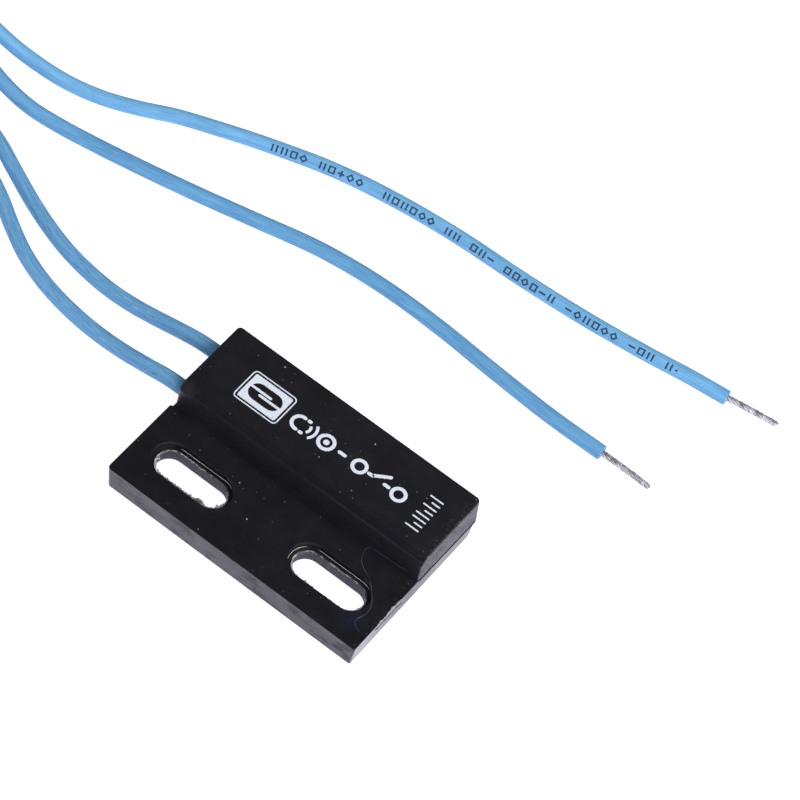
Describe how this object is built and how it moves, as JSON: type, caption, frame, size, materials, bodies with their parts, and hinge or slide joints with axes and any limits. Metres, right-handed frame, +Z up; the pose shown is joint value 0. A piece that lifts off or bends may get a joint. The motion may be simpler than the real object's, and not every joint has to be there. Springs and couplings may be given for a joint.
{
  "type": "proximity sensor",
  "caption": "Flange-mount reed proximity sensor: black moulded block with a slotted flange, sealed reed switch inside and flying leads.",
  "frame": {"origin": "middle of the housing's underside", "axes": "+X along the housing, away from the end that the leads leave; +Y from the slotted flange to the raised block; +Z up, away from the mounting surface"},
  "size_m": [0.1097, 0.0487, 0.0072],
  "materials": {
    "housing_plastic": "satin black moulded plastic, finely grained, with dust, a flow line and white ink marks",
    "potting_resin": "black two-part potting resin, glossy where it cured in the open mouth",
    "reed_glass": "clear infrared-sealing glass with a green tint",
    "reed_alloy": "drawn and flattened nickel-iron wire, gold-toned at the contacts",
    "solder": "bright tin solder fillet",
    "tinned_strand": "twisted strands of tinned copper",
    "lead_insulation": "sky-blue extruded insulation, matt, lightly scuffed",
    "tie_plastic": "white plastic tie strip"
  },
  "bodies": {
    "sensor": {"housing": "housing_plastic", "potting_fill": "potting_resin", "reed_glass": "reed_glass", "reed_lead_near": "reed_alloy", "reed_lead_far": "reed_alloy", "solder_joint_near": "solder", "solder_joint_far": "solder", "lead_1_core": "tinned_strand", "lead_2_core": "tinned_strand", "lead_1_insulation": "lead_insulation", "lead_2_insulation": "lead_insulation", "lead_1_free_near": "lead_insulation", "lead_2_free_near": "lead_insulation", "lead_coil": "lead_insulation", "coil_tie": "tie_plastic", "lead_1_free_far": "lead_insulation", "lead_2_free_far": "lead_insulation", "lead_1_bare_end": "tinned_strand", "lead_2_bare_end": "tinned_strand"},
    "near_blade": {"reed_blade_near": "reed_alloy"},
    "far_blade": {"reed_blade_far": "reed_alloy"}
  },
  "joints": [
    {"name": "near_blade_flex", "type": "hinge", "parent": "sensor", "child": "near_blade", "pos_m": [-0.0027, 0.0027, 0.00328], "axis": [0, 1, 0], "range_deg": [0, 1.6], "stiffness_Nm_per_rad": 0.00007},
    {"name": "far_blade_flex", "type": "hinge", "parent": "sensor", "child": "far_blade", "pos_m": [0.0057, 0.0027, 0.00282], "axis": [0, 1, 0], "range_deg": [0, 1.6], "stiffness_Nm_per_rad": 0.00007}
  ],
  "couplings": [
    {"joint": "far_blade_flex", "follows": "near_blade_flex", "ratio": 1}
  ]
}
